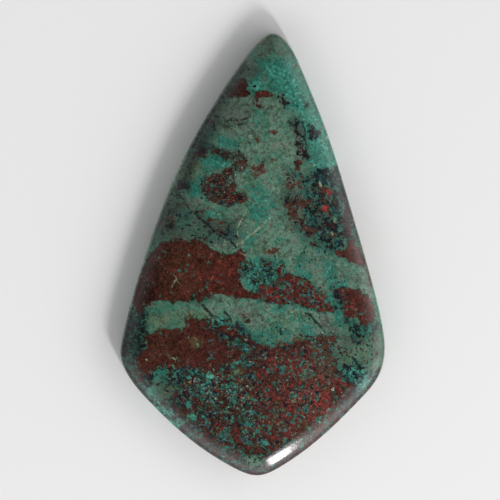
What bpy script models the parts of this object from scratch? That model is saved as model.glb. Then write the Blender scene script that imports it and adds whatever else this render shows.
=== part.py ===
"""A polished cabochon of sonora jasper, lying on its flat back.

The stone is one solid: a free-form kite with a steep girdle, a short bevelled shoulder and a low
dome. Metres, +Z up. X runs across the stone and Y along it, with the point at +Y. The origin is in
the plane of the flat back, under the middle of the stone's outline.
"""

import bpy
import numpy as np

MM = 0.001

# The girdle seen from above, in millimetres, anticlockwise from the point. A closed spline runs
# through these places: the point, the long left side, the left corner, the lower left side, the
# foot, the lower right side, the right corner and the long right side.
OUTLINE_MM = [
    (2.75, 29.0), (0.9, 27.95), (-1.75, 24.75), (-5.9, 18.4), (-10.3, 9.95), (-13.5, 1.55),
    (-15.85, -5.9), (-17.05, -10.9), (-17.3, -13.2), (-16.6, -15.35), (-13.45, -19.4),
    (-7.7, -24.65), (-2.65, -27.9), (0.8, -29.0), (3.75, -27.85), (8.8, -24.2), (14.2, -19.0),
    (16.6, -15.9), (17.4, -12.8), (17.1, -9.3), (15.5, -2.65), (12.75, 6.8), (9.35, 17.35),
    (6.3, 24.75), (4.5, 27.9),
]
POINTS_PER_SPAN = 6

THICKNESS = 6.0
BACK_BEVEL = 0.4

# The rim as (inset from the outline, height above the table), in millimetres. The shoulder is a
# curve from the top of the wall to the foot of the dome, and it bends towards its corner.
WALL_TOP_MM = (0.15, 3.1)
SHOULDER_CORNER_MM = (0.4, 3.8)
DOME_FOOT_MM = (2.5, 4.45)
SHOULDER_STEPS = 5

# The dome rises to a crest that runs from foot to point and sinks at both ends, and it meets the
# crest at the crest's own slope. The crest is a narrow strip, and the dome stops at its edge.
DOME_STEPS = 9
DOME_SHARE_OF_REACH = 0.93
CREST_FOOT_Y = -21.5
CREST_POINT_Y = 22.5
CREST_MIDDLE_Y = -6.0
CREST_SINK_FOOT = 0.9
CREST_SINK_POINT = 1.3
CREST_X = 0.3
CREST_LEAN = 1.8

STONE_COLOUR = (0.085, 0.062, 0.045, 1.0)
POLISH_ROUGHNESS = 0.12


def closed_spline(knots, per_span):
    """Points on the smooth closed curve through the knots, with cubic spans weighted by their length."""
    knots = np.array(knots, float)
    count = len(knots)
    spans = np.linalg.norm(np.roll(knots, -1, axis=0) - knots, axis=1)
    bends = np.zeros((count, count))
    pulls = np.zeros((count, 2))
    for i in range(count):
        after = (i + 1) % count
        before_span, after_span = spans[i - 1], spans[i]
        bends[i, i - 1] = 1 / before_span
        bends[i, i] = 2 / before_span + 2 / after_span
        bends[i, after] = 1 / after_span
        pulls[i] = 3 * (
            (knots[i] - knots[i - 1]) / before_span**2 + (knots[after] - knots[i]) / after_span**2
        )
    slopes = np.linalg.solve(bends, pulls)
    t = np.linspace(0, 1, per_span, endpoint=False)[:, None]
    pieces = []
    for i in range(count):
        after = (i + 1) % count
        pieces.append(
            (2 * t**3 - 3 * t**2 + 1) * knots[i]
            + (t**3 - 2 * t**2 + t) * spans[i] * slopes[i]
            + (3 * t**2 - 2 * t**3) * knots[after]
            + (t**3 - t**2) * spans[i] * slopes[after]
        )
    return np.concatenate(pieces)


def inward_normals(outline):
    """Unit vectors in the plane, square to an anticlockwise outline and pointing into it."""
    along = np.roll(outline, -1, axis=0) - np.roll(outline, 1, axis=0)
    inward = np.stack([-along[:, 1], along[:, 0]], axis=1)
    return inward / np.linalg.norm(inward, axis=1)[:, None]


def crest_under(outline):
    """For each outline point, its place on the crest line, and the crest's height and slope there."""
    low, high = outline[:, 1].min(), outline[:, 1].max()
    y = CREST_FOOT_Y + (outline[:, 1] - low) / (high - low) * (CREST_POINT_Y - CREST_FOOT_Y)
    to_point = np.clip((y - CREST_MIDDLE_Y) / (CREST_POINT_Y - CREST_MIDDLE_Y), 0, 1)
    to_foot = np.clip((CREST_MIDDLE_Y - y) / (CREST_MIDDLE_Y - CREST_FOOT_Y), 0, 1)
    x = CREST_X + CREST_LEAN * to_point**2
    height = THICKNESS - CREST_SINK_POINT * to_point**2 - CREST_SINK_FOOT * to_foot**2
    foot_fall = 2 * CREST_SINK_FOOT * to_foot / (CREST_MIDDLE_Y - CREST_FOOT_Y)
    point_fall = 2 * CREST_SINK_POINT * to_point / (CREST_POINT_Y - CREST_MIDDLE_Y)
    return np.stack([x, y], axis=1), height, foot_fall - point_fall


def rim_profile():
    """(inset, height) of each ring from the back's edge up to the foot of the dome."""
    start, corner, end = np.array([WALL_TOP_MM, SHOULDER_CORNER_MM, DOME_FOOT_MM])
    rings = [(BACK_BEVEL, 0.0), (0.0, BACK_BEVEL)]
    for t in np.linspace(0, 1, SHOULDER_STEPS + 1):
        rings.append((1 - t) ** 2 * start + 2 * t * (1 - t) * corner + t**2 * end)
    return rings


def stone_rings():
    """Each ring's points in millimetres, from the back's edge up to the edge of the crest."""
    outline = closed_spline(OUTLINE_MM, POINTS_PER_SPAN)
    crest, crest_height, crest_slope = crest_under(outline)
    reach = ((crest - outline) * inward_normals(outline)).sum(axis=1)
    rings = []
    for inset, height in rim_profile():
        share = (inset / reach)[:, None]
        flat = outline + share * (crest - outline)
        rings.append(np.column_stack([flat, np.full(len(flat), height)]))
    dome_inset, dome_height = DOME_FOOT_MM
    start = dome_inset / reach
    climb = crest_slope * (crest - outline)[:, 1]
    climb = np.minimum(climb, (crest_height - dome_height) / (1 - start))
    drop = crest_height - climb * (1 - start) - dome_height
    for t in np.linspace(0, 1, DOME_STEPS + 1)[1:]:
        share = start + t * (DOME_SHARE_OF_REACH - start)
        flat = outline + share[:, None] * (crest - outline)
        height = crest_height - climb * (1 - share) - drop * (1 - t) ** 2
        rings.append(np.column_stack([flat, height]))
    return rings


def crest_strip(ring):
    """Triangles across the crest, zipped from the point down between its left and right edges."""
    foot = int(ring[:, 1].argmin())
    left, right = 1, len(ring) - 1
    triangles = [(0, left, right)]
    while left < foot or right > foot:
        left_is_higher = ring[left, 1] > ring[right, 1]
        if right == foot or (left < foot and left_is_higher):
            triangles.append((left, left + 1, right))
            left += 1
        else:
            triangles.append((left, right - 1, right))
            right -= 1
    return [triangle for triangle in triangles if len(set(triangle)) == 3]


def build_stone():
    """One closed mesh: the flat back, the rings of the rim and dome, and the strip of the crest."""
    rings = stone_rings()
    count = len(rings[0])
    faces = [tuple(range(count))[::-1]]
    for ring in range(len(rings) - 1):
        low, high = ring * count, (ring + 1) * count
        for i in range(count):
            after = (i + 1) % count
            faces.append((low + i, low + after, high + after, high + i))
    top = (len(rings) - 1) * count
    for triangle in crest_strip(rings[-1]):
        faces.append(tuple(top + corner for corner in triangle))
    mesh = bpy.data.meshes.new("jasper_cabochon")
    mesh.from_pydata([tuple(point) for point in np.concatenate(rings) * MM], [], faces)
    mesh.update()
    mesh.shade_smooth()
    stone = bpy.data.objects.new("jasper_cabochon", mesh)
    bpy.context.scene.collection.objects.link(stone)
    return stone


def stone_material():
    """The stone's mean colour with its polish."""
    material = bpy.data.materials.new("polished_sonora_jasper")
    material.use_nodes = True
    shader = material.node_tree.nodes["Principled BSDF"]
    shader.inputs["Base Color"].default_value = STONE_COLOUR
    shader.inputs["Roughness"].default_value = POLISH_ROUGHNESS
    shader.inputs["Metallic"].default_value = 0.0
    return material


for leftover in list(bpy.data.objects):
    bpy.data.objects.remove(leftover)
jasper = build_stone()
jasper.data.materials.append(stone_material())
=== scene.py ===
# %% [markdown]
# A polished sonora jasper, step by step.
#
# The real object is one piece of rock: a cabochon, cut flat underneath and domed on top. It has no
# parts to assemble, so nearly all of the work goes into its markings. Red jasper, grey-green and teal
# copper minerals and black oxides grew through each other, and the saw and the polish only show them.
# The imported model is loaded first. It fixes the size and the place of everything that follows.

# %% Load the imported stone
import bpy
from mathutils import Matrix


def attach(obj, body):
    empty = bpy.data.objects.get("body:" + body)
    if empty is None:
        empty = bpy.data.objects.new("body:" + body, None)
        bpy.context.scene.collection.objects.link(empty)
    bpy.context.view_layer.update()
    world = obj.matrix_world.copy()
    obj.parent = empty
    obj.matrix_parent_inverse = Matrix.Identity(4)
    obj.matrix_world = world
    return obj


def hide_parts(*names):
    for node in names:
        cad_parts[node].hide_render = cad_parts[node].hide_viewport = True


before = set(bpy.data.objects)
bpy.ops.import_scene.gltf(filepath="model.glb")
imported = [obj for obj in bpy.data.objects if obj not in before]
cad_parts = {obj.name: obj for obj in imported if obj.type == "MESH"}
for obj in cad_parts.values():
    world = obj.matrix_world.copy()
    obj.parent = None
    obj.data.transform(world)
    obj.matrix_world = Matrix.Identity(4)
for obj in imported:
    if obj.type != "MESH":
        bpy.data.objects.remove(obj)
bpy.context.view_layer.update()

import math

import bpy
import numpy as np
from mathutils import Vector, noise

MM = 0.001

# %% [markdown]
# The girdle is the stone's outline seen from above. It could be drawn as a Bezier curve object, but a
# spline through a few places worked out in code gives the points as numbers, and everything else on
# this stone is measured from them. The places are the same ones that the solid was built from.

# %% The outline as a closed spline
OUTLINE_MM = [
    (2.75, 29.0), (0.9, 27.95), (-1.75, 24.75), (-5.9, 18.4), (-10.3, 9.95), (-13.5, 1.55),
    (-15.85, -5.9), (-17.05, -10.9), (-17.3, -13.2), (-16.6, -15.35), (-13.45, -19.4),
    (-7.7, -24.65), (-2.65, -27.9), (0.8, -29.0), (3.75, -27.85), (8.8, -24.2), (14.2, -19.0),
    (16.6, -15.9), (17.4, -12.8), (17.1, -9.3), (15.5, -2.65), (12.75, 6.8), (9.35, 17.35),
    (6.3, 24.75), (4.5, 27.9),
]
POINTS_PER_SPAN = 27


def closed_spline(knots, per_span):
    """Points on the smooth closed curve through the knots, with cubic spans weighted by length."""
    knots = np.array(knots, float)
    count = len(knots)
    spans = np.linalg.norm(np.roll(knots, -1, axis=0) - knots, axis=1)
    bends = np.zeros((count, count))
    pulls = np.zeros((count, 2))
    for i in range(count):
        after = (i + 1) % count
        before_span, after_span = spans[i - 1], spans[i]
        bends[i, i - 1] = 1 / before_span
        bends[i, i] = 2 / before_span + 2 / after_span
        bends[i, after] = 1 / after_span
        pulls[i] = 3 * (
            (knots[i] - knots[i - 1]) / before_span**2 + (knots[after] - knots[i]) / after_span**2
        )
    slopes = np.linalg.solve(bends, pulls)
    t = np.linspace(0, 1, per_span, endpoint=False)[:, None]
    pieces = []
    for i in range(count):
        after = (i + 1) % count
        pieces.append(
            (2 * t**3 - 3 * t**2 + 1) * knots[i]
            + (t**3 - 2 * t**2 + t) * spans[i] * slopes[i]
            + (3 * t**2 - 2 * t**3) * knots[after]
            + (t**3 - t**2) * spans[i] * slopes[after]
        )
    return np.concatenate(pieces)


outline = closed_spline(OUTLINE_MM, POINTS_PER_SPAN)
print("outline points", len(outline), "size in mm", np.ptp(outline, axis=0).round(2))

# %% [markdown]
# A cutter grinds a cabochon in bands: a small bevel on the back, the wall, the shoulder, then the
# dome. The mesh follows the same order, as rings that step inwards and upwards from the outline to a
# crest line. The crest falls away at both ends, and the dome meets it at the crest's own slope, so
# that no crease shows. A sculpted or subdivided shape would also do, but rings keep the wall and the
# shoulder exact, and they put small even faces on top, where the markings need them.

# %% The crest that the dome rises to
THICKNESS = 6.0
CREST_FOOT_Y = -21.5
CREST_POINT_Y = 22.5
CREST_MIDDLE_Y = -6.0
CREST_SINK_FOOT = 0.9
CREST_SINK_POINT = 1.3
CREST_X = 0.3
CREST_LEAN = 1.8


def inward_normals(edge):
    """Unit vectors in the plane, square to an anticlockwise outline and pointing into it."""
    along = np.roll(edge, -1, axis=0) - np.roll(edge, 1, axis=0)
    inward = np.stack([-along[:, 1], along[:, 0]], axis=1)
    return inward / np.linalg.norm(inward, axis=1)[:, None]


def crest_under(edge):
    """For each outline point, its place on the crest line, and the crest's height and slope there."""
    low, high = edge[:, 1].min(), edge[:, 1].max()
    y = CREST_FOOT_Y + (edge[:, 1] - low) / (high - low) * (CREST_POINT_Y - CREST_FOOT_Y)
    to_point = np.clip((y - CREST_MIDDLE_Y) / (CREST_POINT_Y - CREST_MIDDLE_Y), 0, 1)
    to_foot = np.clip((CREST_MIDDLE_Y - y) / (CREST_MIDDLE_Y - CREST_FOOT_Y), 0, 1)
    x = CREST_X + CREST_LEAN * to_point**2
    height = THICKNESS - CREST_SINK_POINT * to_point**2 - CREST_SINK_FOOT * to_foot**2
    foot_fall = 2 * CREST_SINK_FOOT * to_foot / (CREST_MIDDLE_Y - CREST_FOOT_Y)
    point_fall = 2 * CREST_SINK_POINT * to_point / (CREST_POINT_Y - CREST_MIDDLE_Y)
    return np.stack([x, y], axis=1), height, foot_fall - point_fall


crest, crest_height, crest_slope = crest_under(outline)
reach = ((crest - outline) * inward_normals(outline)).sum(axis=1)
print("the way in from the edge to the crest, mm", reach.min().round(2), reach.max().round(2))

# %% The rings from the back up to the crest
BACK_BEVEL = 0.4
WALL_TOP_MM = (0.15, 3.1)
SHOULDER_CORNER_MM = (0.4, 3.8)
DOME_FOOT_MM = (2.5, 4.45)
WALL_STEPS = 4
SHOULDER_STEPS = 14
DOME_STEPS = 70
DOME_SHARE_OF_REACH = 0.93
BACK_STEPS = 24
INNER_STEPS = 6
INNER_SHARE_OF_REACH = 0.99


def ring_at(inset, height):
    """One ring of the rim, at an inset from the outline and a height."""
    flat = outline + (inset / reach)[:, None] * (crest - outline)
    return np.column_stack([flat, np.full(len(flat), height)])


def rim_rings():
    """The back's bevel, the wall and the rounded shoulder."""
    rings = [ring_at(BACK_BEVEL, 0.0)]
    wall_top, corner, dome_foot = np.array([WALL_TOP_MM, SHOULDER_CORNER_MM, DOME_FOOT_MM])
    wall_foot = np.array([0.0, BACK_BEVEL])
    for t in np.linspace(0, 1, WALL_STEPS, endpoint=False):
        rings.append(ring_at(*(wall_foot + t * (wall_top - wall_foot))))
    for t in np.linspace(0, 1, SHOULDER_STEPS):
        rings.append(ring_at(*((1 - t) ** 2 * wall_top + 2 * t * (1 - t) * corner + t**2 * dome_foot)))
    return rings


def dome_rings():
    """The dome, from the shoulder to the narrow strip along the crest, and the strip itself."""
    dome_inset, dome_height = DOME_FOOT_MM
    start = dome_inset / reach
    climb = crest_slope * (crest - outline)[:, 1]
    climb = np.minimum(climb, (crest_height - dome_height) / (1 - start))
    drop = crest_height - climb * (1 - start) - dome_height
    shares = [start + t * (DOME_SHARE_OF_REACH - start) for t in np.linspace(0, 1, DOME_STEPS + 1)[1:]]
    strip_shares = np.linspace(DOME_SHARE_OF_REACH, INNER_SHARE_OF_REACH, INNER_STEPS + 1)[1:]
    shares += [np.full(len(outline), share) for share in strip_shares]
    rings = []
    for share in shares:
        short = np.clip((DOME_SHARE_OF_REACH - share) / (DOME_SHARE_OF_REACH - start), 0, 1)
        height = crest_height - climb * (1 - share) - drop * short**2
        rings.append(np.column_stack([outline + share[:, None] * (crest - outline), height]))
    return rings


def back_rings():
    """The flat back, from its middle line out to just inside the bevel."""
    start = (BACK_BEVEL / reach)[:, None]
    rings = []
    for t in np.linspace(1, 0, BACK_STEPS, endpoint=False):
        share = start + t * (INNER_SHARE_OF_REACH - start)
        flat = outline + share * (crest - outline)
        rings.append(np.column_stack([flat, np.zeros(len(flat))]))
    return rings


rings = back_rings() + rim_rings() + dome_rings()
points_mm = np.concatenate(rings)
print("rings", len(rings), "points", len(points_mm))

# %% [markdown]
# The rings are joined by four-sided faces. The two innermost rings, on the back and on top, are
# closed by a strip of triangles zipped from side to side, because one large face there would be
# split by Blender in ways that leave creases.

# %% Join the rings into one closed mesh
def strip_across(ring):
    """Triangles that zip up the left and right sides of a ring, from the point down to the foot."""
    foot = int(ring[:, 1].argmin())
    left, right = 1, len(ring) - 1
    triangles = [(0, left, right)]
    while left < foot or right > foot:
        left_is_higher = ring[left, 1] > ring[right, 1]
        if right == foot or (left < foot and left_is_higher):
            triangles.append((left, left + 1, right))
            left += 1
        else:
            triangles.append((left, right - 1, right))
            right -= 1
    return [triangle for triangle in triangles if len(set(triangle)) == 3]


def stone_mesh():
    """The whole surface as one closed mesh with its faces turned outwards."""
    count = len(outline)
    faces = [triangle[::-1] for triangle in strip_across(rings[0])]
    for ring in range(len(rings) - 1):
        low, high = ring * count, (ring + 1) * count
        for i in range(count):
            after = (i + 1) % count
            faces.append((low + i, low + after, high + after, high + i))
    top = (len(rings) - 1) * count
    for triangle in strip_across(rings[-1]):
        faces.append(tuple(top + corner for corner in triangle))
    mesh = bpy.data.meshes.new("jasper_stone")
    mesh.from_pydata([tuple(point) for point in points_mm * MM], [], faces)
    mesh.shade_smooth()
    return mesh


stone = bpy.data.objects.new("jasper_stone", stone_mesh())
bpy.context.scene.collection.objects.link(stone)
triangles = sum(len(face.vertices) - 2 for face in stone.data.polygons)
print("triangles", triangles)

# %% [markdown]
# The markings are placed at pixels of the 500 by 500 photograph, and this step turns a pixel into a
# place on the stone. The photograph looks straight down, so one scale and one middle point do it.
# Inside the rock the markings are bodies with depth, so the places drift sideways with depth: the rim
# shows them bending away and the back shows another cut through the same rock.

# %% From photograph pixels to the stone
MM_PER_PIXEL = 58.0 / 441.5
MIDDLE_PIXEL = (252.25, 254.45)
FACE_HEIGHT_MM = 4.2
DEPTH_DRIFT = 0.75
DRIFT_SIZE_MM = 9.0
WARP_SIZES_MM = ((5.0, 1.0), (1.6, 1.8), (0.7, 1.7))

# Blender's vector noise starts from the clock, so it is seeded to make every run the same.
NOISE_SEED = 7
noise.seed_set(NOISE_SEED)


def noise_field(size_mm, seed):
    """Two smooth random numbers from -1 to 1 at every point of the stone."""
    shift = Vector((seed * 17.3, seed * 5.1, seed * 9.7))
    values = [noise.noise_vector(Vector(point) / size_mm + shift) for point in points_mm]
    return np.array(values)[:, :2]


depth = np.clip(FACE_HEIGHT_MM - points_mm[:, 2], 0, None)[:, None]
places = points_mm[:, :2] + DEPTH_DRIFT * depth * noise_field(DRIFT_SIZE_MM, 1)
pixel_x = MIDDLE_PIXEL[0] + places[:, 0] / MM_PER_PIXEL
pixel_y = MIDDLE_PIXEL[1] - places[:, 1] / MM_PER_PIXEL
pixels = np.column_stack([pixel_x, pixel_y])
for seed, (size_mm, amount) in enumerate(WARP_SIZES_MM, start=2):
    pixels += amount * noise_field(size_mm, seed)
print("markings cover pixels", pixels.min(axis=0).round(), "to", pixels.max(axis=0).round())

# %% [markdown]
# Each marking is a patch with a few mineral levels, laid over the ones before it like paint with a
# soft edge. Ten levels describe the rock at a point: how surely it is red jasper, how many teal
# flecks sit in the red, rust flecks in the green, black specks and pale specks there are, how teal,
# deep, grey or ochre the colour runs, and the tone of the red from brown to crimson. An image texture
# would be quicker, but levels let the material grow crisp mineral edges at any distance.

# %% Levels, and the brushes that lay them down
levels = {
    name: np.full(len(pixels), start)
    for name, start in {
        "red": -1.6, "fleck": 0.1, "rust": 0.26, "black": 0.14, "pale": 0.12,
        "teal": 0.2, "deep": 0.0, "grey": 0.0, "ochre": 0.0, "tone": 0.0,
    }.items()
}


def segment_distances(start, end):
    """How far each pixel place is from a straight segment, and how far along it, from 0 to 1."""
    start, end = np.array(start, float), np.array(end, float)
    run = end - start
    along = np.clip(((pixels - start) @ run) / (run @ run), 0, 1)
    nearest = start + along[:, None] * run
    return np.linalg.norm(pixels - nearest, axis=1), along


EDGE_SPREAD = 2.1


def lay(inwards, edge, amounts):
    """Sets levels where inwards, in pixels, is above zero, fading over the edge on both sides."""
    weight = np.clip(inwards / (2 * edge * EDGE_SPREAD) + 0.5, 0, 1)
    weight = weight**2 * (3 - 2 * weight)
    for name, amount in amounts.items():
        levels[name] += weight * (amount - levels[name])


def patch(corners, edge=4.0, **amounts):
    """Lays levels inside a polygon of pixels."""
    distance = np.full(len(pixels), 1e9)
    inside = np.zeros(len(pixels), bool)
    for start, end in zip(corners, corners[1:] + corners[:1]):
        distance = np.minimum(distance, segment_distances(start, end)[0])
        crosses = (start[1] > pixels[:, 1]) != (end[1] > pixels[:, 1])
        rise = end[1] - start[1] if end[1] != start[1] else 1e-9
        meets = start[0] + (pixels[:, 1] - start[1]) / rise * (end[0] - start[0])
        inside ^= crosses & (pixels[:, 0] < meets)
    lay(np.where(inside, distance, -distance), edge, amounts)


def spot(middle, radii, edge=2.0, **amounts):
    """Lays levels inside an ellipse of pixels."""
    scaled = (pixels - np.array(middle)) / np.array(radii)
    lay((1 - np.linalg.norm(scaled, axis=1)) * min(radii), edge, amounts)


print("levels", ", ".join(levels))


def print_red_share():
    print("red share so far", (levels["red"] > 0).mean().round(3))


# %% [markdown]
# The upper third is mostly grey-green. It is deep green at the point and teal along the right side,
# with painted shade in black and deep grey along the left edge, and with small red and black patches
# that look scattered by hand.

# %% Markings from the point down to the shoulders
patch([(275, 25), (258, 48), (240, 74), (236, 84), (262, 80), (290, 76), (296, 60), (285, 35)], 6,
      deep=0.7, teal=0.3, rust=0.12)
spot((276, 42), (8, 5), 4, ochre=0.35)
patch([(262, 62), (290, 58), (302, 84), (318, 112), (331, 140), (344, 178), (318, 176), (309, 168),
       (306, 146), (298, 118), (287, 100), (272, 92), (262, 80)], 6,
      teal=1.0, pale=0.12, rust=0.06, deep=0.15, black=0.12)
patch([(249, 110), (265, 108), (262, 130), (250, 128)], 5, teal=0.6)
patch([(238, 68), (246, 63), (256, 67), (260, 76), (252, 80), (240, 80)], 3,
      black=0.42, grey=0.4, deep=0.3)
patch([(236, 80), (245, 78), (250, 83), (250, 92), (249, 98), (243, 99), (235, 99), (225, 99),
       (229, 90)], 2,
      red=0.9, fleck=0.1, tone=-0.3, black=0.25)
spot((256, 88), (7, 7.5), 2.5, teal=1.2, red=-1.5, pale=0.3, deep=0.0, grey=0.0)
spot((254, 87), (1.8, 1.5), 1, black=0.75)
patch([(250, 98), (256, 93), (268, 92), (275, 97), (268, 100), (256, 99)], 1.5, red=1.0, tone=0.2)
patch([(250, 99), (258, 99), (263, 105), (262, 111), (255, 110), (250, 106)], 2,
      red=0.3, tone=-0.1, black=0.35)
spot((271, 108), (3.5, 3), 1.5, red=0.5)
patch([(276, 97), (283, 97), (289, 106), (285, 109), (278, 103)], 2, black=0.58, rust=0.5)
patch([(203, 118), (214, 104), (228, 98), (250, 102), (252, 116), (246, 128), (224, 131), (206, 132)], 5,
      grey=0.75, teal=0.05, rust=0.3)
patch([(205, 117), (216, 116), (219, 124), (216, 131), (205, 130)], 3, black=0.55, deep=0.6)
patch([(186, 150), (203, 118), (212, 128), (210, 146), (204, 162), (188, 164)], 5,
      deep=0.8, black=0.4, teal=0.6)
patch([(192, 152), (200, 146), (207, 148), (208, 158), (202, 162), (194, 160)], 2,
      red=0.9, tone=-0.5, black=0.3)
# Painted shade: a dark strip of deep green, grey and black along the upper left edge, where the shoulder
# turns away from the light.
patch([(244, 62), (249, 66), (224, 108), (204, 150), (188, 188), (172, 196), (196, 130), (226, 82)], 3,
      deep=0.85, grey=0.4, black=0.5)
# Painted reflection: a narrow mauve-grey and rust band along the right wall, standing in for what the
# wall mirrors.
patch([(336, 172), (341, 172), (376, 288), (369, 290), (352, 235)], 2.5,
      grey=0.8, rust=0.5, teal=0.0, black=0.3)
print_red_share()

# %% The black and grey cluster on the right of the upper part
spot((298, 107.5), (2.2, 1.2), 0.8, black=0.85)
spot((306.5, 107.5), (2.2, 2.8), 0.8, black=0.85)
patch([(288, 120), (296, 118), (303, 128), (304, 141), (296, 141), (289, 132)], 2,
      black=0.55, grey=0.6, teal=0.3)
patch([(308, 125), (312, 127), (320, 134), (319, 140), (313, 143), (308, 139)], 1.2, black=0.85, rust=0.3)
spot((310.5, 135), (2, 1.6), 1, red=0.9, black=0.3, tone=-0.3)
patch([(292, 144), (300, 142), (306, 150), (310, 160), (304, 162), (297, 158)], 2,
      black=0.62, red=0.1, tone=-0.3)
spot((301.5, 151), (2, 2.5), 1, red=1.2, tone=-0.1, black=0.1)
spot((297, 165), (3, 4.5), 1.5, rust=0.8, black=0.5)
spot((303, 121), (1, 1), 0.5, pale=1.2)
spot((324.5, 142), (1.2, 1.8), 0.6, pale=0.9)
spot((312, 166), (5, 3.5), 2, pale=0.5, teal=1.2)
print("black level at most", levels["black"].max().round(2))

# %% Markings of the upper middle
spot((257, 139), (4, 4), 2.5, rust=0.6, black=0.3)
spot((249.5, 138), (1.5, 1.5), 0.8, pale=0.9)
spot((272, 134), (3, 1.5), 1, rust=0.8)
patch([(252, 169), (258, 163), (262, 160), (266, 166), (264, 173), (258, 178), (252, 177)], 3,
      rust=0.58, black=0.36)
spot((270, 161), (3, 2.5), 2, rust=0.6, black=0.3)
spot((255, 188), (3, 2), 1.5, rust=0.6)
patch([(183, 166), (190, 158), (199, 160), (199, 172), (190, 179), (182, 178)], 3, ochre=0.6)
patch([(176, 183), (183, 180), (188, 184), (187, 191), (179, 192)], 2, red=0.7, tone=-0.7, black=0.5)
patch([(189, 180), (195, 176), (201, 179), (201, 195), (195, 200), (189, 194)], 2.5, teal=0.9)
patch([(203, 158), (220, 157), (236, 164), (234, 171), (218, 171), (203, 170)], 3, teal=0.9, deep=0.0)
patch([(212, 136), (224, 137), (236, 146), (232, 151), (218, 147)], 3, teal=0.9, deep=0.0)
patch([(246, 192), (262, 190), (275, 198), (273, 214), (262, 224), (250, 222), (247, 206)], 4, teal=0.75)
patch([(211, 143), (218, 146), (226, 150), (234, 151), (248, 156), (249, 168), (243, 173), (236, 170),
       (231, 161), (224, 158), (214, 155), (209, 148)], 2,
      red=0.5, fleck=0.34, tone=-0.2, black=0.4, grey=0.35, pale=0.2)
spot((241, 163), (6, 7), 2.5, pale=0.34, tone=0.6, red=0.9, black=0.25, grey=0.3)
patch([(222, 168), (231, 163), (237, 171), (235, 182), (240, 191), (230, 187), (222, 181)], 2.5,
      red=0.35, black=0.3, pale=0.28, fleck=0.3)
patch([(201, 181), (207, 175), (214, 177), (221, 171), (226, 179), (231, 186), (238, 194), (246, 193),
       (247, 206), (238, 204), (231, 208), (222, 206), (212, 202), (203, 196), (199, 189)], 2,
      red=0.55, fleck=0.34, pale=0.24, tone=0.35, black=0.36, grey=0.25)
patch([(212, 209), (224, 208), (229, 213), (226, 220), (216, 220)], 2, teal=0.9, ochre=0.2, red=-1.5)
print_red_share()

# %% [markdown]
# A dark mauve-grey cloud crosses the left side, and a black speckled one crosses the right side with
# crimson spots in it. Between them the grey-green is clean. These clouds are wide soft patches, with
# small spots laid on top in the order that they overlap.

# %% Markings across the middle
patch([(160, 232), (170, 206), (186, 200), (206, 212), (238, 222), (240, 240), (212, 243), (182, 239)], 5,
      grey=0.7, deep=0.5, black=0.4, teal=0.2, rust=0.48, red=-0.9)
patch([(168, 212), (190, 206), (206, 226), (220, 239), (196, 240), (176, 232)], 3.5,
      deep=0.25, grey=0.35, black=0.32, teal=0.5, rust=0.3)
patch([(206, 212), (222, 208), (231, 214), (226, 222), (210, 221)], 3,
      teal=0.95, deep=0.0, grey=0.0, black=0.15)
patch([(158, 222), (172, 194), (180, 196), (170, 232), (160, 240)], 4, deep=0.9, black=0.5)
patch([(150, 246), (160, 232), (182, 240), (165, 242), (152, 250)], 3, deep=0.7, black=0.3, teal=0.5)
patch([(284, 172), (296, 176), (306, 200), (308, 214), (300, 236), (288, 222), (281, 200)], 5,
      grey=0.45, rust=0.5, black=0.4, teal=0.2, deep=0.15)
patch([(296, 174), (312, 172), (338, 174), (346, 196), (352, 222), (362, 262), (347, 262), (331, 256),
       (316, 250), (302, 240), (299, 222), (305, 200)], 5,
      black=0.53, rust=0.45, teal=0.95, deep=0.3, grey=0.1)
patch([(313, 170), (336, 172), (340, 184), (324, 188), (312, 184)], 3, black=0.68)
spot((319, 229), (6, 8), 3, black=0.55, deep=0.5)
spot((297, 207), (6, 4), 2.5, rust=0.6)
spot((282, 216), (4, 2.5), 2, red=0.2, tone=0.2)
spot((323, 189.5), (2.5, 2.5), 1, red=0.8, tone=0.1, black=0.2)
patch([(325, 189), (330, 188), (332, 194), (330, 200), (326, 197)], 1, red=1.3, tone=0.9, black=0.0)
patch([(322, 206), (326, 205), (329, 209), (327, 213), (322, 211)], 1, red=1.4, tone=1.4, black=0.0)
spot((341, 200), (2, 3.5), 1, red=1.1, tone=0.6)
spot((345, 211), (2, 5), 1, red=1.0, tone=0.2)
patch([(329, 222), (335, 221), (339, 226), (335, 231), (330, 227)], 1.2, red=1.1, tone=0.1)
patch([(343, 215), (347, 213), (351, 228), (352, 238), (347, 239), (343, 228)], 1.5, red=1.0, tone=0.2)
patch([(331, 251), (344, 249), (347, 241), (352, 239), (359, 251), (365, 264), (360, 267), (351, 262),
       (343, 259), (335, 256)], 1.8, red=1.4, tone=0.35, black=0.1, fleck=0.08)
spot((319, 185), (1.2, 1.6), 0.6, pale=1.3)
spot((333, 219), (1.8, 1.4), 0.8, pale=1.0, teal=1.2)
spot((331, 234), (2, 2), 1, pale=0.8)
patch([(302, 258), (316, 252), (334, 258), (352, 268), (362, 276), (360, 288), (332, 282), (312, 276)], 4,
      black=0.16, red=-1.6, teal=0.15, grey=0.25, deep=0.0, rust=0.2)
patch([(326, 262), (333, 260), (336, 270), (334, 284), (345, 280), (347, 288), (330, 289),
       (325, 276)], 2.5,
      teal=1.1, black=0.3)
spot((307, 274), (6, 3), 2.5, teal=0.9, black=0.25)
patch([(216, 243), (228, 240), (234, 244), (235, 249), (220, 250)], 2, pale=0.42, teal=0.1, grey=0.6)
patch([(242, 236), (252, 233), (254, 246), (245, 250)], 2, teal=0.9, deep=0.0)
spot((236, 234), (5, 4), 2, teal=0.95)
spot((271, 252), (5, 2.5), 2, rust=0.8, black=0.3)
print_red_share()
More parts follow.
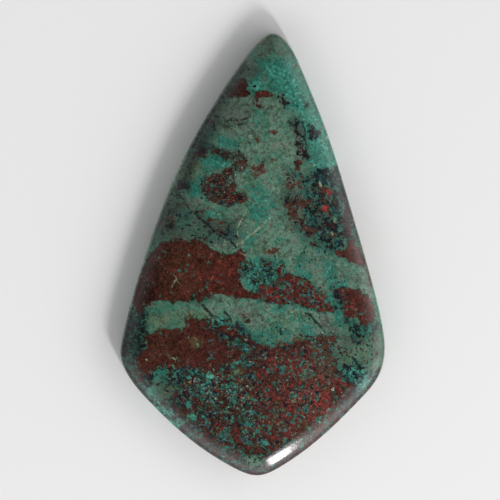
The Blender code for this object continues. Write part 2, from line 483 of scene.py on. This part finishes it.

# %% [markdown]
# The widest red body lies like a slab across the left of the stone. Its upper edge is crisp, its left
# end is browner, and darker still with painted shade where it crosses the left shoulder, and its right
# end frays into teal flecks. A second grey-green band runs below it, from the left side up to the
# middle and out to the right.

# %% The red slab and the band under it
RED_SLAB = [
    (129, 306), (140, 274), (155, 248), (160, 242), (173, 240), (195, 240), (203, 243), (212, 249),
    (219, 253), (235, 254), (241, 248), (246, 251), (242, 262), (240, 272), (242, 284), (249, 289),
    (262, 292), (258, 301), (241, 297), (225, 295), (211, 297), (200, 302), (189, 302), (176, 302),
    (160, 300), (148, 307), (139, 313), (130, 312),
]
patch(RED_SLAB, 2.2, red=1.7, fleck=0.13, black=0.12, tone=0.0, teal=0.7, grey=0.0, deep=0.0, rust=0.0)
# Painted shade: the slab's left end, over the left shoulder, is darkened towards dark brown-red.
patch([(129, 306), (150, 250), (160, 244), (160, 300), (140, 314)], 6, tone=-0.7)
patch([(160, 244), (200, 244), (196, 300), (160, 298)], 8, ochre=0.1)
patch([(200, 250), (246, 250), (243, 292), (200, 298)], 8, tone=0.3)
patch([(189, 294), (194, 291), (198, 303), (191, 304)], 1.5, red=-0.8, black=0.5, teal=0.6)
patch([(202, 295), (209, 293), (209, 304), (203, 303)], 1.5, red=-0.8, black=0.4, teal=0.7)
for x, y, size in ((179, 271, 2.0), (209, 263, 1.6), (211, 278, 1.5), (211, 293, 1.3), (189, 254, 1.3)):
    spot((x, y), (size, size), 0.8, red=-1.2, pale=0.5, black=0.3)
patch([(241, 262), (254, 261), (262, 257), (276, 258), (286, 262), (286, 270), (276, 276), (268, 284),
       (258, 291), (247, 286), (240, 274)], 2.5, red=0.0, fleck=0.6, teal=1.1, black=0.38, deep=0.0)
patch([(260, 287), (269, 284), (277, 278), (281, 271), (289, 274), (300, 276), (306, 281), (318, 292),
       (327, 304), (335, 309), (333, 314), (316, 312), (304, 308), (293, 305), (284, 306), (271, 304),
       (258, 301)], 2.2, red=1.0, fleck=0.36, grey=0.0, black=0.35, tone=0.6, teal=0.95)
patch([(300, 280), (318, 286), (334, 302), (322, 304), (308, 294)], 3, red=0.5, fleck=0.45)
spot((281, 267), (3.5, 4.5), 1.2, red=1.1, tone=-0.1, black=0.1)
spot((288, 276), (4, 3), 1.2, red=1.1, tone=0.1, black=0.1)
patch([(337, 290), (345, 286), (358, 289), (368, 294), (373, 303), (375, 312), (371, 322), (363, 325),
       (358, 318), (352, 319), (352, 330), (346, 328), (342, 318), (340, 308), (338, 300)], 2.2,
      red=1.3, fleck=0.28, tone=0.5, black=0.34)
patch([(326, 284), (338, 283), (341, 296), (339, 312), (334, 310), (328, 298)], 2.5,
      red=-0.2, black=0.46, teal=1.0, deep=0.2)
patch([(296, 258), (304, 252), (310, 262), (300, 272), (294, 268)], 3, teal=0.9, black=0.4)
print_red_share()

# %% Markings of the lower part
patch([(108, 340), (150, 330), (186, 326), (205, 313), (238, 320), (250, 336), (275, 343), (305, 334),
       (335, 338), (350, 345), (398, 350), (396, 378), (318, 462), (252, 496), (176, 444), (108, 380)], 5,
      red=0.7, fleck=0.36, black=0.42, teal=0.7, tone=-0.2)
patch([(148, 307), (160, 301), (176, 303), (189, 303), (200, 303), (207, 306), (212, 317), (202, 318),
       (190, 317), (185, 326), (177, 329), (165, 328), (153, 331), (146, 333)], 2.5,
      red=-1.6, teal=0.45, ochre=0.3, black=0.16)
patch([(148, 306), (200, 302), (202, 307), (150, 313)], 2.5, teal=0.7, ochre=0.1)
spot((191, 314), (3, 2), 1, ochre=0.8, red=0.5)
patch([(209, 298), (224, 295), (240, 298), (258, 302), (271, 305), (284, 307), (294, 306), (305, 309),
       (316, 313), (332, 315), (347, 318), (350, 332), (338, 336), (320, 335), (306, 337), (296, 340),
       (283, 343), (270, 345), (254, 340), (250, 328), (238, 319), (228, 322), (212, 316)], 2.2,
      red=-1.6, teal=0.2, rust=0.24, black=0.16, deep=0.0)
patch([(236, 305), (262, 307), (262, 322), (240, 320)], 4, grey=0.5, rust=0.35)
patch([(318, 314), (328, 317), (337, 327), (338, 335), (328, 334), (320, 325)], 2,
      grey=1.0, pale=0.22, teal=0.0)
patch([(274, 305), (286, 308), (284, 313), (272, 310)], 1.5, teal=1.1, black=0.35)
patch([(254, 324), (272, 330), (290, 338), (280, 344), (258, 340)], 3, teal=0.75, black=0.3)
patch([(303, 330), (314, 328), (316, 337), (304, 338)], 2, teal=1.1, black=0.3)
patch([(334, 312), (342, 314), (341, 326), (333, 322)], 2, teal=1.0, black=0.3)
patch([(276, 326), (288, 327), (291, 333), (280, 334)], 1.5, black=0.62, teal=1.1)
for x, y in ((292, 312), (321, 333), (330, 320), (283, 328.5)):
    spot((x, y), (1.1, 0.8), 0.4, pale=1.2)
spot((296, 338), (3.5, 1.6), 1, ochre=1.0, red=0.3)
spot((279, 339), (3, 1.6), 1, ochre=0.9, red=0.2)
patch([(207, 316), (222, 314), (228, 320), (224, 332), (216, 338), (210, 330)], 2.5,
      red=-0.6, teal=1.1, black=0.4, deep=0.0)
patch([(112, 330), (128, 305), (146, 310), (149, 330), (148, 345), (138, 360), (138, 372), (150, 392),
       (140, 396)], 3, red=-0.3, deep=0.75, black=0.55, teal=0.9, fleck=0.4)
print_red_share()

# %% Markings of the lower left
patch([(148, 336), (153, 332), (165, 328), (177, 330), (185, 327), (189, 316), (204, 317), (210, 323),
       (217, 334), (228, 342), (244, 353), (232, 362), (219, 367), (210, 369), (204, 367), (192, 368),
       (184, 363), (177, 370), (169, 367), (160, 365), (156, 370), (151, 374), (143, 373), (138, 367),
       (137, 359), (144, 352), (148, 344)], 2.2,
      red=1.5, fleck=0.12, black=0.14, tone=0.0, deep=0.0, grey=0.0)
patch([(140, 356), (150, 336), (180, 330), (188, 350), (168, 364), (146, 372)], 6, ochre=0.05, tone=-0.1)
patch([(204, 326), (214, 336), (244, 352), (222, 366), (204, 360)], 5, tone=-0.1, fleck=0.2, black=0.25)
patch([(206, 318), (226, 322), (250, 330), (250, 352), (228, 344), (216, 336)], 3,
      red=0.4, fleck=0.42, teal=1.1, black=0.45, tone=0.0)
for x, y in ((223.5, 326.5), (232.5, 331), (247, 320)):
    spot((x, y), (3.5, 2.5), 1.2, red=1.2, tone=0.2, black=0.1, fleck=0.0)
for x, y in ((148, 358), (174, 358), (246, 338.5), (247.5, 361), (204, 391.5)):
    spot((x, y), (1.1, 1.0), 0.4, pale=1.1)
spot((196.5, 341.5), (4.5, 4), 2.5, ochre=0.9, red=-0.1, pale=0.4, black=0.35)
spot((145.5, 343), (2, 2.5), 1, ochre=0.8, red=-0.4)
patch([(139, 374), (150, 376), (154, 386), (147, 392)], 2, red=0.5, tone=-0.6, black=0.55)
patch([(168, 368), (200, 366), (230, 366), (258, 376), (262, 400), (256, 416), (224, 420), (200, 410),
       (186, 400), (176, 386)], 11, red=0.5, fleck=0.47, black=0.44, teal=1.0, pale=0.3, tone=0.45)
patch([(157, 370), (161, 366), (168, 366), (167, 378), (174, 390), (170, 396), (158, 398), (149, 392),
       (150, 387), (154, 381)], 2.2, red=-1.6, teal=0.85, black=0.3, deep=0.3)
patch([(156, 383), (172, 382), (175, 394), (160, 396)], 3, grey=0.6, ochre=0.3, teal=0.2, black=0.36)
patch([(148, 393), (160, 399), (171, 411), (182, 421), (178, 427), (160, 410)], 3,
      red=-1.2, teal=1.1, black=0.36)
patch([(177, 369), (192, 369), (204, 369), (206, 376), (192, 380), (180, 378)], 2,
      red=-0.4, teal=1.0, black=0.45)
spot((210, 374.5), (3.4, 3), 1.2, red=-1.5, teal=1.5, black=0.0)
spot((193, 415), (4, 3.5), 1.5, red=-1.5, teal=1.2, black=0.1)
spot((174, 376), (2, 3), 1, red=-1.2, teal=1.1)
spot((189, 404.5), (3, 2.5), 1.2, red=-1.2, teal=1.0)
patch([(179, 404), (185, 405), (187, 416), (181, 416)], 2, red=0.8, ochre=0.5, fleck=0.1)
spot((238.5, 370), (5, 3.5), 1.8, ochre=1.0, red=-0.6, black=0.2, pale=0.3)
spot((231, 395.5), (2.5, 4), 1.2, ochre=0.9, red=-0.4, pale=0.3)
patch([(196, 412), (226, 418), (254, 424), (256, 446), (240, 456), (214, 446), (194, 428)], 6,
      red=0.9, fleck=0.42, black=0.38, teal=0.85, tone=0.4, pale=0.2)
spot((252, 423), (4, 3), 1.5, red=-0.8, teal=1.1)
print_red_share()

# %% Markings of the lower right
patch([(254, 346), (273, 345), (290, 341), (318, 336), (333, 339), (340, 392), (330, 420), (296, 446),
       (262, 448), (256, 416), (262, 400), (256, 372)], 9,
      red=1.05, fleck=0.38, black=0.36, grey=0.1, tone=0.65, teal=0.75, pale=0.24)
patch([(313, 346), (331, 344), (335, 370), (328, 382), (316, 376)], 5,
      grey=0.5, red=0.7, fleck=0.3, ochre=0.3)
patch([(300, 366), (318, 372), (322, 392), (310, 404), (302, 388)], 5,
      grey=0.35, red=0.9, tone=0.8, fleck=0.28)
spot((307, 372), (5, 4), 2, ochre=0.5, red=-0.2)
spot((270, 380), (9, 7), 4, tone=0.45, fleck=0.2)
patch([(331, 379), (345, 378), (352, 385), (350, 394), (338, 398), (331, 392)], 2,
      red=1.2, tone=0.8, fleck=0.3, black=0.42)
patch([(312, 398), (330, 394), (333, 406), (322, 414), (312, 412)], 3,
      red=1.2, tone=0.7, fleck=0.25, black=0.25)
spot((331.7, 387.5), (1.5, 1.2), 0.6, pale=1.2)
patch([(333, 342), (350, 335), (375, 329), (386, 338), (386, 356), (374, 374), (362, 368), (343, 372),
       (338, 362), (336, 354)], 2.5,
      red=-1.3, ochre=0.2, teal=0.4, rust=0.36, black=0.34, deep=0.15, pale=0.2)
patch([(339, 334), (349, 334), (350, 345), (341, 346)], 2, grey=0.8, black=0.3, teal=0.1)
patch([(351, 336), (360, 335), (362, 343), (353, 345)], 2, black=0.6, rust=0.5)
patch([(339, 364), (352, 364), (364, 369), (374, 371), (371, 384), (360, 390), (352, 382),
       (343, 376)], 2.2,
      red=-0.8, teal=1.2, black=0.5, ochre=0.0)
spot((355, 376), (5, 4), 1.8, black=0.7)
patch([(344, 319), (353, 318), (366, 326), (376, 316), (379, 330), (370, 341), (352, 337)], 3,
      red=-0.6, black=0.5, teal=0.9, deep=0.4, ochre=0.0)
spot((353, 340), (3, 2), 1.2, red=0.7, black=0.3)
patch([(351, 387), (361, 388), (357, 399), (349, 400)], 2, red=-0.3, black=0.6, teal=0.8)
patch([(242, 455), (255, 453), (266, 456), (262, 468), (248, 466)], 2.5, red=-0.8, teal=0.5, ochre=0.2)
spot((275, 450), (6, 3), 2, pale=0.3, grey=0.4, tone=0.6)
print_red_share()

# %% [markdown]
# Cracks healed with black oxide and thin pale veins are lines and not patches. Each is a short chain
# of pixels with a width. The mesh keeps how far a point is from the nearest line, as a share of the
# line's width, and the material draws the line from that with a broken, uneven edge.

# %% Cracks and veins
DARK_CRACKS = [
    (0.9, [(216, 125), (226, 122), (238, 122), (251, 119)]),
    (0.7, [(226, 127), (234, 127), (242, 125)]),
    (1.1, [(178, 196), (190, 209), (203, 221), (218, 233), (232, 243), (237, 248)]),
    (0.9, [(165, 218), (179, 227), (190, 235), (204, 240)]),
    (0.8, [(203, 240), (210, 236), (218, 229)]),
    (0.7, [(175, 220), (186, 224), (196, 223)]),
    (0.8, [(310, 241), (304, 250), (300, 256), (297, 262)]),
    (1.2, [(224, 310), (228, 315), (231, 320)]),
    (1.4, [(203, 304), (207, 308), (212, 315)]),
    (1.2, [(304, 311), (311, 317), (317, 323), (321, 328)]),
    (1.3, [(352, 357), (355, 362), (359, 367)]),
    (0.9, [(169, 367), (178, 382), (185, 393), (191, 402)]),
    (0.6, [(173, 366), (182, 380), (189, 391)]),
    (0.8, [(208, 118), (212, 124), (215, 131)]),
    (0.9, [(302, 124), (306, 131), (303, 141), (306, 152), (309, 159)]),
    (0.8, [(290, 122), (294, 131), (300, 137)]),
]
PALE_VEINS = [
    (1.2, [(238, 245), (245, 239), (256, 232), (262, 226), (270, 218)]),
    (0.6, [(254, 204), (263, 203), (273, 200)]),
    (0.6, [(246, 208), (242, 219), (238, 230)]),
    (0.6, [(238, 228), (237, 237)]),
    (0.6, [(176, 278), (171, 272), (165, 267)]),
    (0.7, [(176, 278), (173, 283), (171, 287)]),
    (0.5, [(176, 278), (180, 283), (182, 285)]),
    (0.4, [(154, 256), (159, 262), (165, 267)]),
    (0.5, [(209, 263), (212, 257), (215, 252)]),
    (0.6, [(327, 273), (330, 265), (332, 263), (344, 266)]),
    (0.5, [(240, 381), (235, 386), (229, 390), (224, 395)]),
    (0.5, [(241, 250), (246, 256), (249, 262)]),
]
FAR_FROM_LINES = 8.0


def line_field(lines):
    """The distance to the nearest line as a share of its half width, up to a limit."""
    nearest = np.full(len(pixels), FAR_FROM_LINES)
    for half_width, chain in lines:
        for start, end in zip(chain, chain[1:]):
            nearest = np.minimum(nearest, segment_distances(start, end)[0] / half_width)
    return nearest


levels["crack"] = line_field(DARK_CRACKS)
levels["vein"] = line_field(PALE_VEINS)
for name, values in levels.items():
    layer = stone.data.attributes.new(name, "FLOAT", "POINT")
    layer.data.foreach_set("value", values.astype(np.float32))
print("attributes", len(stone.data.attributes))

# %% [markdown]
# The material reads the levels and grows the minerals. Node graphs are easy to lose one's way in, so
# a few helpers come first: each makes one node, wires it and hands back its output, and the graph
# then reads like a sum.

# %% Node helpers
class Graph:
    """Makes nodes in one material, and wires numbers or sockets into them."""

    def __init__(self, material):
        material.use_nodes = True
        self.nodes = material.node_tree.nodes
        self.links = material.node_tree.links

    def feed(self, socket, value):
        if isinstance(value, bpy.types.NodeSocket):
            self.links.new(value, socket)
        else:
            socket.default_value = value

    def level(self, name):
        node = self.nodes.new("ShaderNodeAttribute")
        node.attribute_name = name
        return node.outputs["Fac"]

    def math(self, operation, *values):
        node = self.nodes.new("ShaderNodeMath")
        node.operation = operation
        for socket, value in zip(node.inputs, values):
            self.feed(socket, value)
        return node.outputs[0]

    def add(self, *values):
        total = values[0]
        for value in values[1:]:
            total = self.math("ADD", total, value)
        return total

    def times(self, first, second):
        return self.math("MULTIPLY", first, second)

    def ramp(self, value, low, high, to_low=0.0, to_high=1.0):
        node = self.nodes.new("ShaderNodeMapRange")
        node.interpolation_type = "SMOOTHSTEP"
        for socket, number in zip(node.inputs, (value, low, high, to_low, to_high)):
            self.feed(socket, number)
        return node.outputs["Result"]

    def noise(self, place, per_mm, detail=4.0, roughness=0.55, distortion=0.0):
        node = self.nodes.new("ShaderNodeTexNoise")
        node.inputs["Scale"].default_value = per_mm
        node.inputs["Detail"].default_value = detail
        node.inputs["Roughness"].default_value = roughness
        node.inputs["Distortion"].default_value = distortion
        self.links.new(place, node.inputs["Vector"])
        return node

    def swing(self, place, per_mm, detail=4.0, roughness=0.55, distortion=0.0):
        """Noise as a number that swings about zero, mostly between -2 and 2."""
        node = self.noise(place, per_mm, detail, roughness, distortion)
        return self.times(self.math("SUBTRACT", node.outputs["Fac"], 0.5), 9.0)

    def blend(self, share, first, second):
        node = self.nodes.new("ShaderNodeMix")
        node.data_type = "RGBA"
        self.feed(node.inputs["Factor"], share)
        self.feed(node.inputs["A"], first)
        self.feed(node.inputs["B"], second)
        return node.outputs["Result"]


def colour(hex_code):
    """A screen colour code as the linear colour that Blender's sockets hold."""
    channels = [int(hex_code[i:i + 2], 16) / 255 for i in (0, 2, 4)]
    return (*[c / 12.92 if c <= 0.04045 else ((c + 0.055) / 1.055) ** 2.4 for c in channels], 1.0)


print("grey-green as linear light", [round(c, 3) for c in colour("526d5e")[:3]])

# %% [markdown]
# Where is a point of the rock? The object coordinates answer that, in metres, and they are scaled to
# millimetres so that every noise size below is a real size. A little noise is added to the place
# itself, so that no edge in the rock runs straight. The whole is turned at an odd angle, because a
# noise is built on a square lattice and a flat face cut along it would show rows.

# %% Start the material and warp its space
WARP_PER_MM = 0.9
WARP_MM = 0.55
GRAIN_TURN = (0.7, 0.5, 0.4)

rock = bpy.data.materials.new("polished_sonora_jasper")
graph = Graph(rock)
shader = graph.nodes["Principled BSDF"]

coordinates = graph.nodes.new("ShaderNodeTexCoord")
to_mm = graph.nodes.new("ShaderNodeVectorMath")
to_mm.operation = "SCALE"
to_mm.inputs["Scale"].default_value = 1 / MM
graph.links.new(coordinates.outputs["Object"], to_mm.inputs[0])

wander = graph.noise(to_mm.outputs[0], WARP_PER_MM, 3.0)
bent = graph.nodes.new("ShaderNodeVectorMath")
bent.operation = "MULTIPLY_ADD"
bent.inputs[1].default_value = (WARP_MM, WARP_MM, WARP_MM)
graph.links.new(wander.outputs["Color"], bent.inputs[0])
graph.links.new(to_mm.outputs[0], bent.inputs[2])
turned = graph.nodes.new("ShaderNodeVectorRotate")
turned.rotation_type = "EULER_XYZ"
turned.inputs["Rotation"].default_value = GRAIN_TURN
graph.links.new(bent.outputs[0], turned.inputs["Vector"])
place = turned.outputs[0]
print("nodes", len(graph.nodes))

# %% [markdown]
# The green body of the stone is copper silicate stained by clay. Its colour drifts between grey-green
# and teal over several millimetres, with a finer mottle inside, and olive where iron got in.

# %% The green minerals
GREY_GREEN = colour("577261")
LIGHT_GREEN = colour("7a9b84")
DEEP_GREEN = colour("223f33")
TEAL = colour("2a7363")
BRIGHT_TEAL = colour("5ba897")
MAUVE_GREY = colour("4b4e4b")
SMUDGE = colour("434941")
OLIVE = colour("6f6d45")
LEAF = colour("527b59")
CLAY = colour("6a6a61")

drift = graph.swing(place, 0.5, 5.0, 0.6)
mottle = graph.swing(place, 2.3, 6.0, 0.65)
grain = graph.swing(place, 4.8, 4.0, 0.7)
cloud = graph.add(graph.times(drift, 0.3), graph.times(mottle, 0.5), graph.times(grain, 0.25))
smudge = graph.swing(place, 1.1, 9.0, 0.75)
threads = graph.math("ABSOLUTE", graph.swing(place, 0.9, 9.0, 0.72))

green = graph.blend(graph.ramp(cloud, -0.9, 1.0), GREY_GREEN, LIGHT_GREEN)
green = graph.blend(graph.ramp(smudge, -0.3, 1.6, 0.0, 0.85), green, SMUDGE)
green = graph.blend(graph.ramp(threads, 0.0, 0.3, 0.5, 0.0), green, SMUDGE)
hue = graph.swing(place, 0.6, 6.0, 0.62)
green = graph.blend(graph.ramp(hue, 0.2, 1.7, 0.0, 0.7), green, CLAY)
green = graph.blend(graph.ramp(hue, -0.3, -1.8, 0.0, 0.7), green, LEAF)
teal_share = graph.ramp(graph.add(graph.level("teal"), graph.times(cloud, 0.8)), 0.1, 0.95)
teal = graph.blend(graph.ramp(graph.add(graph.level("teal"), graph.times(mottle, 0.4)), 0.75, 1.7), TEAL,
                   BRIGHT_TEAL)
green = graph.blend(teal_share, green, teal)
green = graph.blend(graph.times(graph.level("ochre"), 0.8), green, OLIVE)
green = graph.blend(graph.times(graph.level("grey"), 0.7), green, MAUVE_GREY)
green = graph.blend(graph.times(graph.level("deep"), 0.75), green, DEEP_GREEN)
print("nodes", len(graph.nodes))

# %% [markdown]
# The red is jasper, silica full of iron and copper oxide. It is never one red: brown-black where it is
# dense, brick in the open and crimson in the small spots on the right.

# %% The red minerals
RED_BROWN = colour("48261f")
RED_DARK = colour("29120f")
BRICK = colour("713a31")
CRIMSON = colour("96302a")

red_cloud = graph.add(graph.times(drift, 0.25), graph.times(mottle, 0.4), graph.times(grain, 0.4))
tone = graph.level("tone")
toned = graph.add(red_cloud, tone)
red = graph.blend(graph.ramp(toned, -1.1, 0.1), RED_DARK, RED_BROWN)
red = graph.blend(graph.ramp(graph.add(red_cloud, graph.times(tone, 0.8)), 0.1, 1.5), red, BRICK)
red = graph.blend(graph.ramp(toned, 0.5, 1.6), red, CRIMSON)
red = graph.blend(graph.times(graph.level("ochre"), 0.5), red, OLIVE)
red = graph.blend(graph.times(graph.level("grey"), 0.45), red, MAUVE_GREY)

fray = graph.swing(place, 1.3, 9.0, 0.75)
red_edge = graph.add(graph.level("red"), graph.times(drift, 0.25), graph.times(fray, 0.95))
red_share = graph.ramp(red_edge, -0.3, 0.3)
print("nodes", len(graph.nodes))

# %% [markdown]
# Flecks, rust and specks are the small change of this rock. Each is one noise at its own size, cut off
# at a height that follows its level: a level of 0.5 fills half of the area and 0 fills none.

# %% Flecks, rust and specks
NEAR_BLACK = colour("14171a")
NAVY = colour("1a2631")
PALE = colour("93a68d")
RUST = colour("53352c")
SLATE = colour("4a6870")
MOSS = colour("56693f")
AMBER = colour("8f6b3f")
FULL_SWING = 3.0


def scattered(level_name, swinging, softness=0.6):
    """A share that is 1 on as much of the rock as the level says."""
    height = graph.times(graph.math("SUBTRACT", graph.level(level_name), 0.5), 2 * FULL_SWING)
    return graph.ramp(graph.add(swinging, height), -softness, softness)


clump = graph.swing(place, 0.8, 3.0, 0.5)
fleck_noise = graph.add(graph.times(graph.swing(place, 1.8, 8.0, 0.68), 1.7), graph.times(clump, 0.7))
rust_noise = graph.add(graph.swing(place, 1.7, 8.0, 0.72), graph.times(clump, -0.5))
speck_noise = graph.add(graph.times(graph.swing(place, 2.0, 9.0, 0.75), 1.9), graph.times(drift, 0.4))
pale_noise = graph.times(graph.swing(place, 3.2, 5.0, 0.65), 1.3)

oxide_rim = graph.ramp(graph.math("ABSOLUTE", red_edge), 0.0, 0.45, 0.6, 0.0)
fleck_colour = graph.blend(graph.ramp(mottle, -1.2, 0.7), DEEP_GREEN, teal)
fleck_hue = graph.swing(place, 1.5, 4.0, 0.6)
fleck_colour = graph.blend(graph.ramp(fleck_hue, 0.1, 1.0, 0.0, 0.75), fleck_colour, SLATE)
fleck_colour = graph.blend(graph.ramp(fleck_hue, -0.3, -1.2, 0.0, 0.8), fleck_colour, MOSS)
pale_colour = graph.blend(graph.ramp(fleck_hue, -0.2, -0.9), PALE, AMBER)
red = graph.blend(scattered("fleck", fleck_noise), red, fleck_colour)
green = graph.blend(scattered("rust", rust_noise, 0.5), green, RUST)
surface = graph.blend(red_share, green, red)
surface = graph.blend(oxide_rim, surface, NEAR_BLACK)
oxide = graph.blend(graph.ramp(clump, 0.4, 1.4, 0.0, 0.9), NEAR_BLACK, NAVY)
surface = graph.blend(scattered("black", speck_noise), surface, oxide)
surface = graph.blend(graph.times(scattered("pale", pale_noise, 0.3), 0.7), surface, pale_colour)
print("nodes", len(graph.nodes))

# %% Draw the cracks and veins
VEIN = colour("8c9c80")

uneven = graph.add(graph.times(mottle, 0.35), graph.times(grain, 0.2))
crack_share = graph.ramp(graph.add(graph.level("crack"), graph.times(uneven, 0.9)), 1.4, 0.4)
vein_share = graph.ramp(graph.add(graph.level("vein"), graph.times(uneven, 0.9)), 1.4, 0.4)
surface = graph.blend(graph.times(crack_share, 0.85), surface, NEAR_BLACK)
surface = graph.blend(graph.times(vein_share, 0.65), surface, VEIN)

sparkle = graph.add(graph.times(graph.swing(place, 2.0, 8.0, 0.8), 1.5), graph.times(hue, 0.35))
shade = graph.nodes.new("ShaderNodeMix")
shade.data_type = "RGBA"
shade.blend_type = "MULTIPLY"
shade.inputs["Factor"].default_value = 1.0
graph.links.new(surface, shade.inputs["A"])
graph.links.new(graph.ramp(sparkle, -1.9, 1.9, 0.5, 1.6), shade.inputs["B"])
surface = shade.outputs["Result"]
graph.links.new(surface, shader.inputs["Base Color"])
print("nodes", len(graph.nodes))

# %% [markdown]
# The polish is a hard gloss. Grains in a rock differ in hardness, so they take it unevenly, and cracks
# stay open as shallow grooves. So roughness follows the grain, and a faint bump follows both. One
# roughness for the whole stone would be simpler, but the highlights would look like plastic.

# %% Polish and fine relief
GLOSS = 0.07
SOFT_GLOSS = 0.17
QUARTZ_IOR = 1.54
GROOVE_MM = 0.015
GROOVE_STRENGTH = 0.35

shader.inputs["IOR"].default_value = QUARTZ_IOR
shader.inputs["Metallic"].default_value = 0.0
unpolished = graph.add(graph.times(grain, 0.3), graph.times(mottle, 0.2))
roughness = graph.ramp(unpolished, -1.2, 1.2, GLOSS, SOFT_GLOSS)
graph.links.new(roughness, shader.inputs["Roughness"])
relief = graph.nodes.new("ShaderNodeBump")
relief.inputs["Strength"].default_value = GROOVE_STRENGTH
relief.inputs["Distance"].default_value = GROOVE_MM * MM
height = graph.add(graph.times(grain, 0.08), graph.times(crack_share, -0.5))
graph.links.new(height, relief.inputs["Height"])
graph.links.new(relief.outputs["Normal"], shader.inputs["Normal"])

stone.data.materials.append(rock)
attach(stone, "root")
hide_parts("jasper_cabochon")
print("material nodes", len(graph.nodes))

# %% [markdown]
# The setting is a plain white table in soft light. The table is one large plane, and it doesn't count
# as part of the object.

# %% Table
TABLE_SIZE = 3.0
TABLE_GAP = 0.00002
TABLE_WHITE = (0.96, 0.96, 0.96, 1.0)
TABLE_ROUGHNESS = 0.9

table_mesh = bpy.data.meshes.new("table")
half = TABLE_SIZE / 2
table_corners = [(-half, -half, 0), (half, -half, 0), (half, half, 0), (-half, half, 0)]
table_mesh.from_pydata(table_corners, [], [(0, 1, 2, 3)])
table = bpy.data.objects.new("table", table_mesh)
table.location.z = -TABLE_GAP
bpy.context.scene.collection.objects.link(table)
white = bpy.data.materials.new("white_table")
white.use_nodes = True
paint = white.node_tree.nodes["Principled BSDF"].inputs
paint["Base Color"].default_value = TABLE_WHITE
paint["Roughness"].default_value = TABLE_ROUGHNESS
paint["Specular IOR Level"].default_value = 0.0
table_mesh.materials.append(white)
print("table", TABLE_SIZE, "m square")

# %% [markdown]
# A polished dome mirrors whatever hangs above it, and that veil would wash out the dark minerals. So
# the surroundings are dim overhead and near the horizon, and brightest at a middle height to the
# lower right. Two panels stand there too: a narrow one draws the bright band on the shoulder, and a
# wide weak one spreads a little sheen around it. One even sky would be simpler, but it greys the face.

# %% Light
HORIZON_SHARE = 0.45
HORIZON_ENDS = 0.45
CEILING_STARTS = 0.52
CEILING_ENDS = 0.86
ZENITH_SHARE = 0.03
SHADE_BRIGHTNESS = 0.5
BRIGHT_SIDE = 2.5
BRIGHT_SIDE_AZIMUTH = math.radians(-58)
SHADE_SIDE_ENDS = -0.7

world = bpy.data.worlds.new("studio")
bpy.context.scene.world = world
world.use_nodes = True
sky_nodes = world.node_tree.nodes
sky_links = world.node_tree.links
direction = sky_nodes.new("ShaderNodeTexCoord")
split = sky_nodes.new("ShaderNodeSeparateXYZ")
across = sky_nodes.new("ShaderNodeVectorMath")
across.operation = "DOT_PRODUCT"
across.inputs[1].default_value = (math.cos(BRIGHT_SIDE_AZIMUTH), math.sin(BRIGHT_SIDE_AZIMUTH), 0.0)
fall = sky_nodes.new("ShaderNodeMapRange")
side = sky_nodes.new("ShaderNodeMapRange")
low = sky_nodes.new("ShaderNodeMapRange")
for node, numbers in (
    (low, (0.0, HORIZON_ENDS, HORIZON_SHARE, 1.0)),
    (fall, (CEILING_STARTS, CEILING_ENDS, 1.0, ZENITH_SHARE)),
    (side, (SHADE_SIDE_ENDS, 1.0, SHADE_BRIGHTNESS, BRIGHT_SIDE)),
):
    node.interpolation_type = "SMOOTHSTEP"
    for socket, number in zip(node.inputs[1:5], numbers):
        socket.default_value = number
by_height = sky_nodes.new("ShaderNodeMath")
strength = sky_nodes.new("ShaderNodeMath")
by_height.operation = strength.operation = "MULTIPLY"
for output, socket in (
    (direction.outputs["Generated"], split.inputs[0]),
    (direction.outputs["Generated"], across.inputs[0]),
    (split.outputs["Z"], low.inputs["Value"]),
    (split.outputs["Z"], fall.inputs["Value"]),
    (across.outputs["Value"], side.inputs["Value"]),
    (low.outputs["Result"], by_height.inputs[0]),
    (fall.outputs["Result"], by_height.inputs[1]),
    (by_height.outputs[0], strength.inputs[0]),
    (side.outputs["Result"], strength.inputs[1]),
    (strength.outputs[0], sky_nodes["Background"].inputs["Strength"]),
):
    sky_links.new(output, socket)
sky_nodes["Background"].inputs["Color"].default_value = (1.0, 1.0, 1.0, 1.0)


def soft_panel(name, azimuth, elevation, distance, width, height, power, tint=(1, 1, 1)):
    """A rectangular soft light that faces the stone. Azimuth 0 is +X, anticlockwise, in degrees."""
    lamp = bpy.data.lights.new(name, "AREA")
    lamp.shape = "RECTANGLE"
    lamp.size = width
    lamp.size_y = height
    lamp.energy = power
    lamp.color = tint
    panel = bpy.data.objects.new(name, lamp)
    turn, lift = math.radians(azimuth), math.radians(elevation)
    away = Vector((math.cos(turn) * math.cos(lift), math.sin(turn) * math.cos(lift), math.sin(lift)))
    panel.location = away * distance
    panel.rotation_euler = away.to_track_quat("Z", "Y").to_euler()
    bpy.context.scene.collection.objects.link(panel)
    return panel


soft_panel("key_panel", -61.5, 38, 0.6, 0.042, 0.15, 1.2)
soft_panel("sheen_panel", -42, 30, 0.6, 0.5, 0.2, 0.2, (1.0, 0.86, 0.84))
print("lights", [lamp.name for lamp in bpy.data.lights])

# %% [markdown]
# The photograph looks straight down at the stone, from far enough away that its wall hardly shows. A
# long lens high above the table does the same, and its height follows from the width that it frames.

# %% Camera
PHOTO_PIXELS = 500
VIEW_WIDTH_MM = PHOTO_PIXELS * MM_PER_PIXEL
LENS = 300.0
SENSOR = 36.0

camera_data = bpy.data.cameras.new("camera")
camera_data.lens = LENS
camera_data.sensor_width = SENSOR
camera_data.clip_end = 10.0
camera = bpy.data.objects.new("camera", camera_data)
camera.location = (
    (PHOTO_PIXELS / 2 - MIDDLE_PIXEL[0]) * MM_PER_PIXEL * MM,
    (MIDDLE_PIXEL[1] - PHOTO_PIXELS / 2) * MM_PER_PIXEL * MM,
    VIEW_WIDTH_MM * MM * LENS / SENSOR,
)
bpy.context.scene.collection.objects.link(camera)
bpy.context.scene.camera = camera
bpy.context.scene.view_settings.view_transform = "Standard"
print("camera height in metres", round(camera.location.z, 3))
